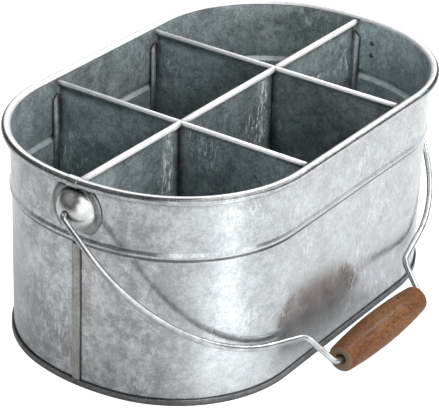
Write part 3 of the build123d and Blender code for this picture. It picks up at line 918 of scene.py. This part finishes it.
swell = GRIP_RADIUS - GRIP_END_RADIUS
barrel = (grip_half**2 + swell**2) / (2 * swell)
barrel_centre = (0, 0, GRIP_RADIUS - barrel)
barrel_turn = asin(grip_half / barrel)
bm = bmesh.new()
crown = bm.verts.new((0, 0, GRIP_RADIUS))
side = bmesh.ops.spin(bm, geom=[crown], cent=barrel_centre, axis=(0, 1, 0), angle=barrel_turn, steps=18)
corner = points_of(side["geom_last"])
line_end = corner
for x, up in ((grip_half, MOUTH_RADIUS), (grip_half - MOUTH_DEPTH, GRIP_BORE), (0, GRIP_BORE)):
    line_end = bmesh.ops.extrude_vert_indiv(bm, verts=line_end)["verts"]
    line_end[0].co = (x, 0, up)
round_off(bm, corner, "VERTICES", GRIP_ROUND, 8)
bmesh.ops.mirror(bm, geom=bm.verts[:] + bm.edges[:], axis="X", merge_dist=0.01)
bmesh.ops.remove_doubles(bm, verts=bm.verts, dist=0.001)
profile = bm.verts[:] + bm.edges[:]
bmesh.ops.spin(bm, geom=profile, cent=(0, 0, 0), axis=(1, 0, 0), angle=2 * pi, steps=64, use_merge=True)
bmesh.ops.remove_doubles(bm, verts=bm.verts, dist=0.001)
bmesh.ops.recalc_face_normals(bm, faces=bm.faces)
bmesh.ops.transform(bm, matrix=bail_plane @ Matrix.Translation(bail_corners[0]), verts=bm.verts)
finished("wood_grip", bm, "grip", nodes=["grip"], materials=[grip_wood.material])

# Studio: a wide white floor under soft boxes, the largest at the front right, and two small lights
# over the floor. Seen directly or in the metal, the floor is white apart from the caddy's own shadow.
FLOOR_RADIUS = 6.0
FLOOR_DROP = 0.0003
FLOOR_SEEN = 0.8
FLOOR_MIRRORED = 0.12
WORLD_STRENGTH = 0.1

white_floor = Finish("white floor", Base_Color=(0.8, 0.8, 0.8, 1.0), Roughness=0.9)
seen = white_floor.node("ShaderNodeLightPath", output="Is Camera Ray")
mirrored = white_floor.node("ShaderNodeLightPath", output="Is Glossy Ray")
through = white_floor.node("ShaderNodeLightPath", output="Is Transmission Ray")
strength = (seen + through) * FLOOR_SEEN + mirrored * FLOOR_MIRRORED
glow = white_floor.node("ShaderNodeEmission", None, {"Color": (1, 1, 1, 1), "Strength": strength})
both = white_floor.node("ShaderNodeAddShader", None, {1: glow})
white_floor.tree.links.new(white_floor.shader.outputs[0], both.socket.node.inputs[0])
surface = white_floor.tree.nodes["Material Output"].inputs["Surface"]
white_floor.tree.links.new(both.socket, surface)

mesh = bpy.data.meshes.new("floor")
bm = bmesh.new()
bmesh.ops.create_circle(bm, cap_ends=True, segments=64, radius=FLOOR_RADIUS)
bmesh.ops.translate(bm, vec=(0, 0, -FLOOR_DROP), verts=bm.verts)
bm.to_mesh(mesh)
bm.free()
mesh.materials.append(white_floor.material)
floor = bpy.data.objects.new("floor", mesh)
bpy.context.scene.collection.objects.link(floor)

world = bpy.data.worlds.new("studio")
bpy.context.scene.world = world
world.use_nodes = True
world.node_tree.nodes["Background"].inputs["Color"].default_value = (1, 1, 1, 1)
world.node_tree.nodes["Background"].inputs["Strength"].default_value = WORLD_STRENGTH


def soft_lamp(name, stand, aim, width, height, watts, spread=180, turn=0):
    """A rectangular soft box that faces a point, with its beam's spread and its own turn in degrees."""
    lamp = bpy.data.lights.new(name, "AREA")
    lamp.shape = "RECTANGLE"
    lamp.size = width
    lamp.size_y = height
    lamp.energy = watts
    lamp.spread = radians(spread)
    holder = bpy.data.objects.new(name, lamp)
    holder.location = stand
    holder.rotation_euler = (Vector(aim) - Vector(stand)).to_track_quat("-Z", "Y").to_euler()
    holder.rotation_euler.rotate_axis("Z", radians(turn))
    holder.visible_camera = False
    bpy.context.scene.collection.objects.link(holder)


soft_lamp("right soft box", (0.9, -1.1, 1.6), (0, 0, 0.05), 2.2, 2.0, 36)
soft_lamp("right key", (1.25, -0.4, 1.15), (0, 0, 0.05), 0.3, 0.3, 4)
soft_lamp("back soft box", (0.7, 0.6, 1.5), (0, 0, 0.05), 2.4, 2.4, 20)
soft_lamp("left soft box", (-0.75, -1.15, 0.5), (-0.18, 0, 0.13), 2.0, 1.0, 11.5)
soft_lamp("left top soft box", (-0.55, -1.1, 1.5), (0, 0, 0.1), 1.2, 1.2, 11)
soft_lamp("left back soft box", (-0.95, 0.72, 1.05), (0, 0, 0.1), 1.5, 0.9, 1.3)
soft_lamp("left floor light", (-0.27, 0.14, 0.3), (-0.27, 0.14, 0), 0.2, 0.2, 0.05, 60)
soft_lamp("floor strip", (-0.16, -0.26, 0.25), (-0.16, -0.26, 0), 0.06, 0.32, 0.13, 32, -11.5)

# Camera: at the photograph's viewing angle, above the near end's front corner and a little tilted.
# Its place and lens were solved from the rim, the bead, the bottom edge, the dividers and the bail.
AZIMUTH = radians(-56.216)
ELEVATION = radians(27.919)
ROLL = radians(2.1375)
DISTANCE = 1.54645
AIM_RIGHT = -0.00078
AIM_UP = 0.05971
IMAGE_WIDTH = 439
FOCUS_PIXELS = 2055.56
SENSOR = 36.0

back = Vector((sin(AZIMUTH) * cos(ELEVATION), -cos(AZIMUTH) * cos(ELEVATION), sin(ELEVATION)))
level = Vector((cos(AZIMUTH), sin(AZIMUTH), 0))
upward = back.cross(level)
right = level * cos(ROLL) + upward * sin(ROLL)
up = upward * cos(ROLL) - level * sin(ROLL)
stand = back * DISTANCE + right * AIM_RIGHT + up * AIM_UP
lens = bpy.data.cameras.new("camera")
lens.sensor_fit = "HORIZONTAL"
lens.sensor_width = SENSOR
lens.lens = FOCUS_PIXELS * SENSOR / IMAGE_WIDTH
lens.clip_end = 50
camera = bpy.data.objects.new("camera", lens)
turned = Matrix((right, up, back)).transposed().to_4x4()
camera.matrix_world = Matrix.Translation(stand) @ turned
bpy.context.scene.collection.objects.link(camera)
bpy.context.scene.camera = camera
bpy.context.scene.view_settings.view_transform = "Standard"
